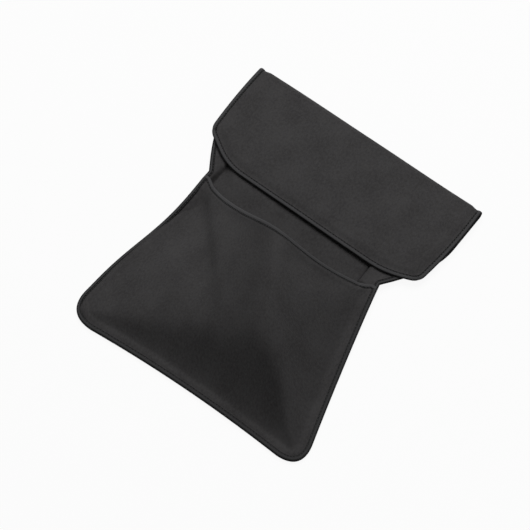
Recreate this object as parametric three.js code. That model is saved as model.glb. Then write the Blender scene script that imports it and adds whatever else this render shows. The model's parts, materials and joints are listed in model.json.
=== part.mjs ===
// Soft lens pouch of one padded cloth: a pocket whose front stands up as it does round a full load,
// a bare neck behind the mouth, and a flap that folds back over the neck.
// Millimetres, +Z up. The pouch lies on its back, its fold runs along X and its pocket points to -Y.

import * as THREE from 'three';

// Cloth and edge tape
const clothThickness = 1.5;
const sewnThickness = 0.9; // the same cloth where a seam presses it flat
const tapeThickness = 0.6;
const tapeWidth = 3.6;
const sewMargin = 0.8; // flat cloth just inside the tape
const seatClearance = 0.3; // between pieces that are sewn together
const easeLength = 8; // over which the cloth swells from its sewn edge to its full thickness

// Flap and neck
const foldWidth = 220;
const foldHeight = 8.6; // from the table to the top of the folded flap
const flapLength = 90;
const flapSlant = 2.2; // how much shorter its left end lies
const leftFlapTaper = 2.6; // how far each side of the flap draws in
const rightFlapTaper = 3;
const leftCutAcross = 31; // its corners are cut off at a slant
const leftCutAlong = 19.5;
const rightCutAcross = 27;
const rightCutAlong = 10.7;
const hipReach = 8; // reach of the rounding where a cut leaves the side
const toeReach = 15; // and where it meets the free edge
const leftFlapBow = 0.8; // how far the sides swell out between their ends
const rightFlapBow = 1.6;
const mouthShow = 9; // bare neck between the flap's free edge and the top of the pocket
const neckFlareLength = 62; // length over which the neck widens from the mouth to the fold
const bendLength = 13; // strip of neck that takes the bend when the neck folds up

// Pocket, as it lies
const mouthWidth = 167;
const pocketLength = 161.5;
const bottomWidth = 222.5;
const bottomShift = 15.9; // the pocket leans this far to +X
const bottomTilt = 1.4; // degrees
const bottomCorner = 21; // reach of the round bottom corners along each edge
const leftBow = 2.2; // how far the edges draw in between their corners
const rightBow = 0;
const bottomBow = 3.2;
const leftMouthDrop = 6; // from the top of the back panel down to each mouth corner
const rightMouthDrop = 5;
const cornerLiftHeight = 4.5; // the back's margins are pulled up this much at the mouth
const liftLengthDown = 60;
const liftLengthUp = 14;
const flangeWidth = 24; // margin of the back that the lift bends up

// The raised front: slopes that fall from a crest, which runs from the mouth back to its rear end
const crownHeight = 70;
const crestAcross = 0.66; // where the crest stands, as a share of the way from left to right
const crestRear = 75; // from the bottom edge to the rear end of the crest
const leanLength = 78.8; // the mouth leans back the more, the higher it stands, up to this length
const leanHeight = 96.1; // rise at which it leans back half of that
const edgeSteepness = 1.6;
const slopeMiddle = 0.4; // share of the way up the pocket at which the side slopes have their own fullness
const leftFullness = 0.775;
const leftGain = 1.18; // how much fuller a slope gets from the bottom to the mouth
const rightFullness = 2.05;
const rightCurve = 1.55; // 1 is a straight slope, more is a hollow one
const rightGain = 0.876;
const mouthStart = 0.07; // the slope that falls from the crest to the right of the mouth
const mouthFullness = 0.971;
const mouthCurve = 1.63;
const mouthGain = 3.25;
const mouthEase = 1.35; // 1 is a straight rise away from the mouth, more is a gentler start
const bottomFullness = 1.3;
const bottomCurve = 1.55;
const hipSharpness = 4;
const cornerReach = 30; // the bottom corners lie flat within this reach
const cornerFlat = 12; // and this far in from their rounded edge

// Fineness of the grids, in steps
const frontAcross = 26;
const frontAlong = 13;
const backAcross = 7;
const backAlong = 8;
const neckAlong = 7;
const bendAlong = 3;
const foldSteps = 8;
const flapAcross = 12;
const flapAlong = 5;
const outlineSteps = 240;

// Values that follow from the driving dimensions
const rim = seatClearance + tapeThickness;
const flatEdge = tapeWidth + sewMargin;
const halfGap = seatClearance / 2;
const seamStack = 2 * sewnThickness + seatClearance;
const foldHalf = foldWidth / 2 - rim;
const mouthHalf = mouthWidth / 2 - rim;
const foldAxisZ = foldHeight / 2;
const flapEnd = rim - flapLength;
const pocketTop = -(flapLength + mouthShow);
const bendEnd = pocketTop + bendLength;
const pocketBottom = pocketTop - pocketLength;

const { clamp, lerp, smoothstep, degToRad } = THREE.MathUtils;

// Smallest of several heights, with the ridges between them rounded
function softMin(...heights) {
  const powers = heights.map((height) => Math.max(height, 1e-4) ** -hipSharpness);
  return powers.reduce((sum, power) => sum + power, 0) ** (-1 / hipSharpness);
}

// Shares of a span, with lines at the sewn edge and just inside it at the ends that are sewn
function shares(span, steps, sewnStart, sewnEnd) {
  const lines = [0, 1 / 3, 1, 2].map((runs) => flatEdge + runs * easeLength);
  const start = sewnStart ? [0, ...lines] : [0];
  const end = sewnEnd ? [span, ...lines.map((line) => span - line)].reverse() : [span];
  const first = start.at(-1);
  const last = end[0];
  const middle = Array.from({ length: steps - 1 }, (_, i) => lerp(first, last, (i + 1) / steps));
  return [...start, ...middle, ...end].map((place) => place / span);
}

// An open outline through corners that are rounded within a reach, down the left side, along the end and up
// the right side. Each run between two corners swells out by its bow.
function roundedOutline(corners, reaches, bows) {
  const along = (from, to, reach) => from.clone().lerp(to, reach / from.distanceTo(to));
  const path = new THREE.CurvePath();
  let start = corners[0];
  bows.forEach((bow, i) => {
    const corner = corners[i + 1];
    const next = corners[i + 2];
    const stop = next ? along(corner, corners[i], reaches[i]) : corner;
    const outward = stop.clone().sub(start).rotateAround(new THREE.Vector2(), -Math.PI / 2).normalize();
    const middle = start.clone().lerp(stop, 0.5).addScaledVector(outward, 2 * bow);
    path.add(new THREE.QuadraticBezierCurve(start, middle, stop));
    if (!next) return;
    start = along(corner, next, reaches[i]);
    path.add(new THREE.QuadraticBezierCurve(stop, corner, start));
  });
  const lengths = path.getCurveLengths();
  const total = lengths.at(-1);
  const at = (share) => path.getPoint(clamp(share, 0, 1));
  const leftCorner = (lengths[0] + lengths[1]) / 2 / total;
  const rightCorner = (lengths.at(-3) + lengths.at(-2)) / 2 / total;
  const trace = Array.from({ length: outlineSteps + 1 }, (_, i) => at(i / outlineSteps));
  return { at, total, leftCorner, rightCorner, trace };
}

// Distance in plan from a point to an outline
function edgeDistance(outline, x, y) {
  let nearest = Infinity;
  for (let i = 0; i < outline.trace.length - 1; i += 1) {
    const a = outline.trace[i];
    const b = outline.trace[i + 1];
    const run = b.clone().sub(a);
    const share = clamp(((x - a.x) * run.x + (y - a.y) * run.y) / run.lengthSq(), 0, 1);
    nearest = Math.min(nearest, Math.hypot(x - a.x - share * run.x, y - a.y - share * run.y));
  }
  return nearest;
}

// Plan of a panel inside an outline, from its end (v = 0) to its top (v = 1), left to right with s
function planPatch(outline, leftDrop, rightDrop) {
  const leftTop = leftDrop / outline.total;
  const rightTop = 1 - rightDrop / outline.total;
  const left = (v) => outline.at(lerp(outline.leftCorner, leftTop, v));
  const right = (v) => outline.at(lerp(outline.rightCorner, rightTop, v));
  const end = (s) => outline.at(lerp(outline.leftCorner, outline.rightCorner, s));
  const top = (s) => left(1).lerp(right(1), s);
  return (s, v) => {
    const corners = end(0).lerp(end(1), s).lerp(top(s), v);
    return end(s).lerp(top(s), v).add(left(v).lerp(right(v), s)).sub(corners);
  };
}

// How far a sewn edge draws the cloth in from its free face, so that its tape ends flush
function edgeDraw(distance) {
  return rim * (1 - smoothstep(distance, flatEdge, flatEdge + easeLength));
}

function clothDepth(distance) {
  return lerp(sewnThickness, clothThickness, smoothstep(distance, flatEdge, flatEdge + easeLength));
}

// Margins of the back and neck rise towards the two mouth corners
function marginLift(distance, y) {
  const run = y > pocketTop ? liftLengthUp : liftLengthDown;
  const lift = cornerLiftHeight * Math.exp(-(((y - pocketTop) / run) ** 2));
  return lift * (1 - smoothstep(distance, flatEdge, flangeWidth));
}

// A sheet is a grid of points on one face of the cloth, with its normals and its depth behind that face.
// Where the same cloth runs on in the next sheet, its edge is cut square to Y.
function sheet(acrossAt, along, surface, cutRows) {
  const spots = along.map((v) => acrossAt(v).map((s) => surface(s, v)));
  const points = spots.map((row) => row.map((spot) => spot.point));
  const depths = spots.map((row) => row.map((spot) => spot.depth));
  const normals = points.map((row) => row.map(() => new THREE.Vector3()));
  for (let j = 0; j < along.length - 1; j += 1) {
    for (let i = 0; i < points[j].length - 1; i += 1) {
      const rising = points[j + 1][i + 1].clone().sub(points[j][i]);
      const falling = points[j + 1][i].clone().sub(points[j][i + 1]);
      const normal = rising.cross(falling);
      [normals[j][i], normals[j][i + 1], normals[j + 1][i], normals[j + 1][i + 1]].forEach((n) => n.add(normal));
    }
  }
  cutRows.forEach((j) => normals.at(j).forEach((normal) => normal.setY(0)));
  normals.forEach((row) => row.forEach((normal) => normal.normalize()));
  return { points, normals, depths };
}

// Closed body from vertices and triangles, turned so that its faces point out
function solid(vertices, triangles) {
  let volume = 0;
  const normal = new THREE.Vector3();
  triangles.forEach(([a, b, c]) => {
    volume += vertices[a].dot(normal.crossVectors(vertices[b], vertices[c]));
  });
  const faces = volume > 0 ? triangles : triangles.map(([a, b, c]) => [a, c, b]);
  const geometry = new THREE.BufferGeometry().setFromPoints(vertices);
  geometry.setIndex(faces.flat());
  geometry.computeVertexNormals();
  return geometry;
}

// Cloth body of a sheet: its face, the same face set back by the depth, and the cut edge all round
function clothBody({ points, normals, depths }) {
  const rows = points.length;
  const columns = points[0].length;
  const face = points.flat();
  const back = face.map((point, i) => point.clone().addScaledVector(normals.flat()[i], depths.flat()[i]));
  const at = (j, i) => j * columns + i;
  const triangles = [];
  const quad = (a, b, c, d) => triangles.push([a, b, c], [a, c, d]);
  for (let j = 0; j < rows - 1; j += 1) {
    for (let i = 0; i < columns - 1; i += 1) {
      const ring = [at(j, i), at(j, i + 1), at(j + 1, i + 1), at(j + 1, i)];
      quad(...ring);
      const [a, b, c, d] = ring.map((index) => index + face.length);
      triangles.push([a, c, b], [a, d, c]);
    }
  }
  const loop = [];
  for (let i = 0; i < columns - 1; i += 1) loop.push(at(0, i));
  for (let j = 0; j < rows - 1; j += 1) loop.push(at(j, columns - 1));
  for (let i = columns - 1; i > 0; i -= 1) loop.push(at(rows - 1, i));
  for (let j = rows - 1; j > 0; j -= 1) loop.push(at(j, 0));
  loop.forEach((here, i) => {
    const next = loop[(i + 1) % loop.length];
    quad(next, here, here + face.length, next + face.length);
  });
  return solid([...face, ...back], triangles);
}

// The edges of a sheet, as lists of spots in the order that keeps the cloth on the left of the way
function leftEdge({ points, normals }) {
  const spot = (row, j) => ({ point: row[0], normal: normals[j][0], inward: row[1].clone().sub(row[0]) });
  return points.map(spot).reverse();
}

function rightEdge({ points, normals }) {
  const inward = (row) => row.at(-2).clone().sub(row.at(-1));
  return points.map((row, j) => ({ point: row.at(-1), normal: normals[j].at(-1), inward: inward(row) }));
}

function endEdge({ points, normals }) {
  return points[0].map((point, i) => ({ point, normal: normals[0][i] }));
}

function topEdge({ points, normals }) {
  return points.at(-1).map((point, i) => ({ point, normal: normals.at(-1)[i] })).reverse();
}

function roundEdge(panel) {
  return [...leftEdge(panel), ...endEdge(panel).slice(1), ...rightEdge(panel).slice(1)];
}

// Edge tape folded round a cloth edge: stack is the thickness it holds, counted along the normal.
// Its ends are cut along the rows of the sheet that it edges.
function tapeBody(spots, stack) {
  const half = Math.abs(stack) / 2;
  const inner = half + seatClearance;
  const outer = inner + tapeThickness;
  const section = [
    [tapeWidth, outer], [0, outer], [-rim, half], [-rim, -half], [0, -outer], [tapeWidth, -outer],
    [tapeWidth, -inner], [-seatClearance, -inner], [-seatClearance, inner], [tapeWidth, inner],
  ].map(([x, y]) => new THREE.Vector2(x, y));
  const count = section.length;
  const vertices = spots.flatMap(({ point, normal, inward: row }, i) => {
    const before = spots[Math.max(i - 1, 0)].point;
    const after = spots[Math.min(i + 1, spots.length - 1)].point;
    const isEnd = i === 0 || i === spots.length - 1;
    const square = normal.clone().cross(after.clone().sub(before));
    const inward = (isEnd && row ? row.clone().projectOnPlane(normal) : square).normalize();
    const middle = point.clone().addScaledVector(normal, stack / 2);
    return section.map(({ x, y }) => middle.clone().addScaledVector(inward, x).addScaledVector(normal, y));
  });
  const triangles = [];
  for (let k = 0; k < spots.length - 1; k += 1) {
    for (let i = 0; i < count; i += 1) {
      const a = k * count + i;
      const b = k * count + ((i + 1) % count);
      triangles.push([a, b, b + count], [a, b + count, a + count]);
    }
  }
  const last = (spots.length - 1) * count;
  THREE.ShapeUtils.triangulateShape(section, []).forEach(([a, b, c]) => {
    triangles.push([a, c, b], [last + a, last + b, last + c]);
  });
  return solid(vertices, triangles);
}

// Pocket outline in plan, down one side, round the bottom and up the other
function pocketOutline() {
  const halfBottom = bottomWidth / 2 - rim;
  const tilt = degToRad(bottomTilt);
  const centre = new THREE.Vector2(bottomShift, pocketBottom + rim);
  const halfEnd = new THREE.Vector2(Math.cos(tilt), Math.sin(tilt)).multiplyScalar(halfBottom);
  const corners = [
    new THREE.Vector2(-mouthHalf, pocketTop - halfGap),
    centre.clone().sub(halfEnd),
    centre.clone().add(halfEnd),
    new THREE.Vector2(mouthHalf, pocketTop - halfGap),
  ];
  return roundedOutline(corners, [bottomCorner, bottomCorner], [-leftBow, -bottomBow, -rightBow]);
}

const pocket = pocketOutline();

// Height of the back's underside over the table
function backHeight(distance, y) {
  return edgeDraw(distance) + marginLift(distance, y);
}

function backPanel() {
  const plan = planPatch(pocket, 0, 0);
  const across = (v) => shares(plan(0, v).distanceTo(plan(1, v)), backAcross, true, true);
  const along = shares(pocketLength, backAlong, true, false);
  return sheet(across, along, (s, v) => {
    const { x, y } = plan(s, v);
    const distance = edgeDistance(pocket, x, y);
    return { point: new THREE.Vector3(x, y, backHeight(distance, y)), depth: clothDepth(distance) };
  }, [-1]);
}

// Rise of the front over the seam: slopes fall from the crest to both sides, the bottom and the mouth's right
function frontRise(s, v, width, distance) {
  const leftRun = crestAcross * width - flatEdge;
  const rightRun = (1 - crestAcross) * width - flatEdge;
  const leftShare = Math.max(s * width - flatEdge, 0) / leftRun;
  const left = leftFullness * (1 + leftGain * (v - slopeMiddle)) * leftShare;
  const rightShare = Math.max((1 - s) * width - flatEdge, 0) / rightRun;
  const right = rightFullness * (1 + rightGain * (v - slopeMiddle)) * rightShare ** rightCurve;
  const mouth = mouthStart + mouthFullness * rightShare ** mouthCurve + mouthGain * (1 - v) ** mouthEase;
  const bottomShare = Math.max(v * pocketLength - flatEdge, 0) / (crestRear - flatEdge);
  const bottom = bottomFullness * bottomShare ** bottomCurve;
  const nearSide = 1 - smoothstep(Math.min(s, 1 - s) * width, 0, cornerReach);
  const nearBottom = 1 - smoothstep(v * pocketLength, 0, cornerReach);
  const flat = lerp(flatEdge, cornerFlat, nearSide * nearBottom);
  const edge = edgeSteepness * Math.max(distance - flat, 0) / crownHeight;
  return crownHeight * softMin(left, right, mouth, bottom, edge);
}

function frontPanel() {
  const plan = planPatch(pocket, leftMouthDrop, rightMouthDrop);
  const width = (v) => plan(0, v).distanceTo(plan(1, v));
  const across = (v) => shares(width(v), frontAcross, true, true);
  const along = shares(pocketLength, frontAlong, true, true);
  return sheet(across, along, (s, v) => {
    const { x, y } = plan(s, v);
    const distance = edgeDistance(pocket, x, y);
    const rise = frontRise(s, v, width(v), distance);
    const height = backHeight(distance, y) + seamStack + rise;
    const lean = leanLength * rise / (rise + leanHeight) * v;
    const depth = clothDepth(Math.min(distance, (1 - v) * pocketLength));
    return { point: new THREE.Vector3(x, y - lean, height), depth: -depth };
  }, []);
}

// The neck widens from the mouth to the fold
function neckHalfWidth(y) {
  const share = clamp((y - pocketTop) / neckFlareLength, 0, 1);
  return lerp(mouthHalf, foldHalf, Math.sin(share * Math.PI / 2));
}

function neckSheet(start, stop, steps) {
  const along = Array.from({ length: steps + 1 }, (_, i) => i / steps);
  const across = (v) => shares(2 * neckHalfWidth(lerp(start, stop, v)), backAcross, true, true);
  return sheet(across, along, (s, v) => {
    const y = lerp(start, stop, v);
    const half = neckHalfWidth(y);
    const x = lerp(-half, half, s);
    const distance = half - Math.abs(x);
    return { point: new THREE.Vector3(x, y, backHeight(distance, y)), depth: clothDepth(distance) };
  }, [0, -1]);
}

// The fold turns the neck over into the flap, in a half circle
function foldSheet() {
  const across = () => shares(2 * foldHalf, backAcross, true, true);
  const turns = Array.from({ length: foldSteps + 1 }, (_, i) => i / foldSteps);
  return sheet(across, turns, (s, v) => {
    const x = lerp(-foldHalf, foldHalf, s);
    const distance = foldHalf - Math.abs(x);
    const radius = foldAxisZ - edgeDraw(distance);
    const turn = lerp(-Math.PI / 2, Math.PI / 2, v);
    const point = new THREE.Vector3(x, radius * Math.cos(turn), foldAxisZ + radius * Math.sin(turn));
    return { point, depth: clothDepth(distance) };
  }, [0, -1]);
}

function flapSheet() {
  const left = leftFlapTaper - foldHalf;
  const right = foldHalf - rightFlapTaper;
  const leftEnd = flapEnd + flapSlant;
  const corners = [
    new THREE.Vector2(-foldHalf, -seatClearance),
    new THREE.Vector2(left, leftEnd + leftCutAlong),
    new THREE.Vector2(left + leftCutAcross, leftEnd),
    new THREE.Vector2(right - rightCutAcross, flapEnd),
    new THREE.Vector2(right, flapEnd + rightCutAlong),
    new THREE.Vector2(foldHalf, -seatClearance),
  ];
  const reaches = [hipReach, toeReach, toeReach, hipReach];
  const outline = roundedOutline(corners, reaches, [leftFlapBow, 0, 0, 0, rightFlapBow]);
  const plan = planPatch(outline, 0, 0);
  const across = (v) => shares(plan(0, v).distanceTo(plan(1, v)), flapAcross, true, true);
  const along = shares(flapLength, flapAlong, true, false);
  return sheet(across, along, (s, v) => {
    const { x, y } = plan(s, v);
    const distance = edgeDistance(outline, x, y);
    return { point: new THREE.Vector3(x, y, foldHeight - edgeDraw(distance)), depth: -clothDepth(distance) };
  }, [-1]);
}

const panels = {
  front: frontPanel(),
  back: backPanel(),
  bend: neckSheet(pocketTop + halfGap, bendEnd - halfGap, bendAlong),
  neck: neckSheet(bendEnd + halfGap, -seatClearance, neckAlong),
  fold: foldSheet(),
  flap: flapSheet(),
};

// The mouth tape runs from where the front parts from the back at one corner to where it does at the other
function mouthEdge() {
  const isClear = ({ point }) => {
    const distance = edgeDistance(pocket, point.x, point.y);
    const backTop = backHeight(distance, point.y) + clothDepth(distance);
    return distance > flatEdge && point.z - sewnThickness - rim - seatClearance > backTop;
  };
  return topEdge(panels.front).filter(isClear);
}

const clothLook = { color: 0x383737, roughness: 0.95, metalness: 0 };
const tapeLook = { color: 0x323232, roughness: 0.85, metalness: 0 };

const pouch = new THREE.Group();

function addPiece(name, geometry, look) {
  const mesh = new THREE.Mesh(geometry, new THREE.MeshStandardMaterial(look));
  mesh.name = name;
  pouch.add(mesh);
}

Object.entries(panels).forEach(([name, panel]) => {
  addPiece(`${name}_panel`, clothBody(panel), clothLook);
});

addPiece('pocket_tape', tapeBody(roundEdge(panels.back), seamStack), tapeLook);
addPiece('mouth_tape', tapeBody(mouthEdge(), -sewnThickness), tapeLook);
addPiece('flap_tape', tapeBody(roundEdge(panels.flap), -sewnThickness), tapeLook);

['bend', 'neck', 'fold'].forEach((name) => {
  addPiece(`${name}_tape_left`, tapeBody(leftEdge(panels[name]), sewnThickness), tapeLook);
  addPiece(`${name}_tape_right`, tapeBody(rightEdge(panels[name]), sewnThickness), tapeLook);
});

// The origin is on the table, under the middle of the pouch
const middle = new THREE.Box3().setFromObject(pouch).getCenter(new THREE.Vector3());
pouch.position.set(-middle.x, -middle.y, 0);

export default pouch;
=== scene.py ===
"""Soft lens pouch: the padded cloth, the edge tape and the sewing that dress its packed frame.

Shapes are worked out in the pouch's own plan: X runs along the fold, Y = 0 is where the neck ends and
the fold begins, the pocket points to -Y, and Z = 0 is the table.
"""

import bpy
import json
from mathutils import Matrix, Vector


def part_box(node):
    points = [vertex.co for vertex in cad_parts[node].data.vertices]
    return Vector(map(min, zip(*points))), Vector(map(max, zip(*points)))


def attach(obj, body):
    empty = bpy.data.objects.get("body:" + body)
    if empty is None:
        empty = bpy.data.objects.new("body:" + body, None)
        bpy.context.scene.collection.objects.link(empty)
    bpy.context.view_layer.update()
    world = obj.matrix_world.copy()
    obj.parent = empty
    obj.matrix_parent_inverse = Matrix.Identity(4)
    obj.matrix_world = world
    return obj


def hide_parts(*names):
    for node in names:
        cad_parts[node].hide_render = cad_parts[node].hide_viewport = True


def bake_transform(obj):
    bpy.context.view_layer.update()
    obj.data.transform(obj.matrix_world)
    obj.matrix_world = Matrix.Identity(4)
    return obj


bl_info = {
    "name": "Soft Lens Pouch",
    "version": (1, 0, 0),
    "blender": (4, 5, 0),
    "location": "3D Viewport > Sidebar > Pouch",
    "description": "Makes the padded cloth, edge tape and stitching of a soft lens pouch",
    "category": "Object",
}

import json
import math

import bpy
import numpy as np
from bpy.props import FloatProperty, FloatVectorProperty, IntProperty, PointerProperty
from bpy.types import Operator, Panel, PropertyGroup
from mathutils import Vector

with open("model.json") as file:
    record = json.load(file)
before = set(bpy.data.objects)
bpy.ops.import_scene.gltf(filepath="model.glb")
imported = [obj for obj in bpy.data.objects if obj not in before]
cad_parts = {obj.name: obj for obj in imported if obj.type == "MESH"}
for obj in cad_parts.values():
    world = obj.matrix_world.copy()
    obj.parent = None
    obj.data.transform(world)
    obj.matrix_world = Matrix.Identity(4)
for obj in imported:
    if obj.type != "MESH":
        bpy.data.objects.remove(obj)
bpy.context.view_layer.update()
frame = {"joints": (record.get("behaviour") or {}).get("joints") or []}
AXES = {joint["name"]: Vector(joint["pos_m"]) for joint in frame["joints"]}
FOLD_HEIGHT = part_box("flap_panel")[1].z
PLAN_ORIGIN = np.array((AXES["flap_fold"].x, AXES["flap_fold"].y - FOLD_HEIGHT / 2, 0.0))
POCKET_TOP = AXES["neck_bend"].y - PLAN_ORIGIN[1]


# Settings


def size(name, description, default):
    return FloatProperty(name=name, description=description, default=default, unit="LENGTH", precision=5)


def share(name, description, default):
    return FloatProperty(name=name, description=description, default=default, precision=3)


def angle(name, description, degrees):
    return FloatProperty(name=name, description=description, default=math.radians(degrees), subtype="ANGLE")


def whole_number(name, description, default, least):
    return IntProperty(name=name, description=description, default=default, min=least)


def colour(name, description, default):
    return FloatVectorProperty(
        name=name, description=description, default=default, subtype="COLOR", size=3, min=0.0, max=1.0
    )


class PouchCloth(PropertyGroup):
    """Padded cloth and its sewn edge"""

    thickness: size("Thickness", "Cloth between the seams", 0.0015)
    sewn: size("Sewn thickness", "Cloth where a seam presses it", 0.0009)
    layer_gap: size("Layer gap", "Between two layers that are sewn together", 0.0003)
    edge_draw: size("Edge draw", "How far a sewn edge lies under the cloth's free face", 0.0009)
    flat_edge: size("Flat edge", "Width of the pressed cloth along a seam", 0.0040)
    ease: size("Ease", "Width over which the cloth swells to its full thickness", 0.0055)


class PouchTape(PropertyGroup):
    """Edge tape, rolled round the cloth's edge"""

    overhang: size("Overhang", "How far the roll stands out past the cloth's edge", 0.0009)
    roll: size("Roll width", "From the cloth's edge in to the crown of the roll", 0.0009)
    band: size("Band", "From the cloth's edge in to the end of the flat band", 0.0018)
    groove: size("Groove place", "From the cloth's edge in to the sewn groove", 0.0023)
    width: size("Tape width", "From the cloth's edge in to the tape's own edge", 0.0029)
    crown: size("Crown height", "Of the roll over the cloth", 0.0007)
    band_height: size("Band height", "Of the inner side of the band over the cloth", 0.00058)
    groove_height: size("Groove height", "Of the sewn groove over the cloth", 0.00005)
    lip_height: size("Lip height", "Of the tape's own edge over the cloth", 0.00030)
    roundness: share("Roundness", "2 is an ellipse, more is squarer", 2.6)


class PouchSewing(PropertyGroup):
    """Rows of stitches in the groove of each tape"""

    pitch: size("Pitch", "From stitch to stitch", 0.0027)
    length: size("Length", "Of the thread that shows in one stitch", 0.0023)
    thread: size("Thread", "Diameter of the thread", 0.00060)
    stand: size("Stand", "Height of the thread's middle over the groove", 0.00016)
    bite: size("Bite", "How far the ends of a stitch sink in", 0.00022)


class PouchFlap(PropertyGroup):
    """Neck, fold and flap"""

    fold_width: size("Fold width", "Along the fold, over the tapes", 0.220)
    fold_height: size("Fold height", "From the table to the top of the flap", FOLD_HEIGHT)
    length: size("Flap length", "From the fold to the free edge", 0.090)
    slant: size("Slant", "How much shorter the flap's left end lies", 0.0022)
    left_taper: size("Left taper", "How far the left side draws in", 0.0026)
    right_taper: size("Right taper", "How far the right side draws in", 0.0030)
    left_cut_across: size("Left cut across", "Left cut corner, along the free edge", 0.031)
    left_cut_along: size("Left cut along", "Left cut corner, along the side", 0.0195)
    right_cut_across: size("Right cut across", "Right cut corner, along the free edge", 0.027)
    right_cut_along: size("Right cut along", "Right cut corner, along the side", 0.0107)
    hip_reach: size("Hip reach", "Rounding where a cut leaves the side", 0.008)
    toe_reach: size("Toe reach", "Rounding where a cut meets the free edge", 0.015)
    left_bow: size("Left bow", "How far the left side swells out", 0.0008)
    right_bow: size("Right bow", "How far the right side swells out", 0.0016)
    flare: size("Flare length", "Over which the neck widens from the mouth to the fold", 0.062)
    split: size("Split", "From the fold to where the two cloth pieces of the neck meet", 0.045)
    wave: size("Wave", "How far the flap's face swells and sinks", 0.0003)
    sag: size("Sag", "How far the free edge sinks towards the neck at its ends", 0.0016)
    held_up: share("Held up", "How much less it sinks in the middle", 0.35)
    drawn_reach: size("Drawn reach", "How far the fold's draw runs out along the flap", 0.060)


class PouchPocket(PropertyGroup):
    """Pocket outline as it lies"""

    mouth_width: size("Mouth width", "From corner to corner of the mouth", 0.167)
    length: size("Length", "From the mouth to the bottom", 0.1615)
    bottom_width: size("Bottom width", "Along the bottom edge", 0.2225)
    bottom_shift: size("Bottom shift", "How far the pocket leans to the right", 0.0159)
    bottom_tilt: angle("Bottom tilt", "Of the bottom edge", 1.4)
    left_corner: size("Left corner", "Reach of the round bottom corner on the left", 0.025)
    right_corner: size("Right corner", "Reach of the round bottom corner on the right", 0.0215)
    left_bow: size("Left bow", "How far the left edge draws in", 0.0022)
    left_sway: size("Left sway", "How far the left edge draws in above and swells out below", 0.0019)
    right_bow: size("Right bow", "How far the right edge draws in", 0.0011)
    bottom_bow: size("Bottom bow", "How far the bottom edge draws in", 0.0032)
    left_drop: size("Left drop", "From the top of the back to the left mouth corner", 0.006)
    right_drop: size("Right drop", "From the top of the back to the right mouth corner", 0.005)
    corner_lift: size("Corner lift", "How far the margins are pulled up at the mouth", 0.0045)
    lift_down: size("Lift down", "Length of the lift towards the bottom", 0.060)
    flange: size("Flange", "Width of the margin that is pulled up", 0.0125)
    ledge: size("Ledge height", "Of the sides of the neck, which are pulled up to the flap", 0.0036)
    ledge_run: size("Ledge run", "Length over which the ledges run out towards the fold", 0.026)
    left_ledge: size("Left ledge", "Inner end of the left ledge, from the middle of the fold", -0.0752)
    left_fall: size("Left fall", "Width over which the left ledge falls to the neck", 0.0036)
    right_ledge: size("Right ledge", "Inner end of the right ledge, from the middle of the fold", 0.0676)
    right_fall: size("Right fall", "Width over which the right ledge falls to the neck", 0.0018)
    neck_rise: size("Neck rise", "How far the neck stands off the table beside the mouth", 0.0021)
    neck_tilt: share("Neck tilt", "How much more the neck rises at its left than at its middle", 0.5)
    neck_place: size("Neck place", "From the mouth up to the top of that rise", 0.010)
    neck_run: size("Neck run", "Length of that rise", 0.012)
    neck_ease: size("Neck ease", "Width over which the rise runs out to the margins", 0.012)


class PouchCrown(PropertyGroup):
    """Raised form of the pocket's front"""

    height: size("Height", "Of the crest over the seams", 0.070)
    across: share("Crest place", "Share of the way from the left to the right", 0.66)
    rear: size("Crest end", "From the bottom edge to the rear end of the crest", 0.075)
    lean_length: size("Lean length", "The most that the mouth can lean back", 0.0788)
    lean_height: size("Lean height", "Rise at which the mouth leans back half of that", 0.0961)
    edge: share("Edge steepness", "Of the front just inside its seams", 1.6)
    middle: share("Slope middle", "Share of the way up where the side slopes have their fullness", 0.4)
    left: share("Left fullness", "Of the slope to the left", 0.775)
    left_gain: share("Left gain", "How much fuller that slope gets on the way up", 1.18)
    right: share("Right fullness", "Of the slope to the right", 2.05)
    right_curve: share("Right curve", "1 is a straight slope, more is a hollow one", 1.55)
    right_gain: share("Right gain", "How much fuller that slope gets on the way up", 0.876)
    mouth_start: share("Mouth start", "Of the slope from the crest to the right of the mouth", 0.07)
    mouth: share("Mouth fullness", "Of that slope", 0.971)
    mouth_curve: share("Mouth curve", "1 is a straight slope, more is a hollow one", 1.63)
    mouth_gain: share("Mouth gain", "How fast that slope rises away from the mouth", 3.25)
    mouth_ease: share("Mouth ease", "1 is a straight rise, more is a gentler start", 1.35)
    bottom: share("Bottom fullness", "Of the slope to the bottom", 1.3)
    bottom_curve: share("Bottom curve", "1 is a straight slope, more is a hollow one", 1.55)
    sharpness: share("Hip sharpness", "Of the ridges between the slopes", 4.0)
    corner_reach: size("Corner reach", "Within which the bottom corners lie flat", 0.030)
    corner_flat: size("Corner flat", "How far the corners lie flat", 0.012)
    corner_ease: size("Corner ease", "How softly the front rises out of its corners", 0.008)
    slack: share("Slack", "Share by which the cloth is larger than the form it settles on", 0.002)
    give: size("Give", "How far under the cloth its former stands", 0.0012)
    settle: size("Settle", "The most that the cloth may move as it settles", 0.0022)
    softness: whole_number("Softness", "Rounds that even out the folds", 6, least=0)
    frames: whole_number("Settling", "Frames for which the cloth settles", 28, least=2)


class PouchLooks(PropertyGroup):
    """Colours of the cloth, tape and thread, and the tape's painted highlight and painted light"""

    cloth: colour("Cloth", "Brushed face of the cloth", (0.0364, 0.0351, 0.0356))
    cloth_deep: colour("Cloth shade", "Between the fibres", (0.0241, 0.0228, 0.0233))
    tape: colour("Tape", "Edge tape", (0.0060, 0.0060, 0.0062))
    # Painted highlight along the crown of the tape's roll
    tape_highlight: colour("Rubbed tape", "Along the crown of the roll", (0.0520, 0.0515, 0.0530))
    # Painted light beside the crown, on stretches of the pocket's tape at its bottom and right side
    tape_lit_side: colour("Worn tape", "Beside the crown at the bottom", (0.0150, 0.0149, 0.0152))
    # Dimmer painted highlight along the crown on those stretches
    tape_dimmed_highlight: colour("Evenly worn tape", "Along the crown at the bottom", (0.0340, 0.0337, 0.0345))
    thread: colour("Thread", "Sewing thread", (0.0040, 0.0040, 0.0041))
    floor: colour("Floor", "Floor under the pouch", (0.70, 0.70, 0.70))


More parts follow.
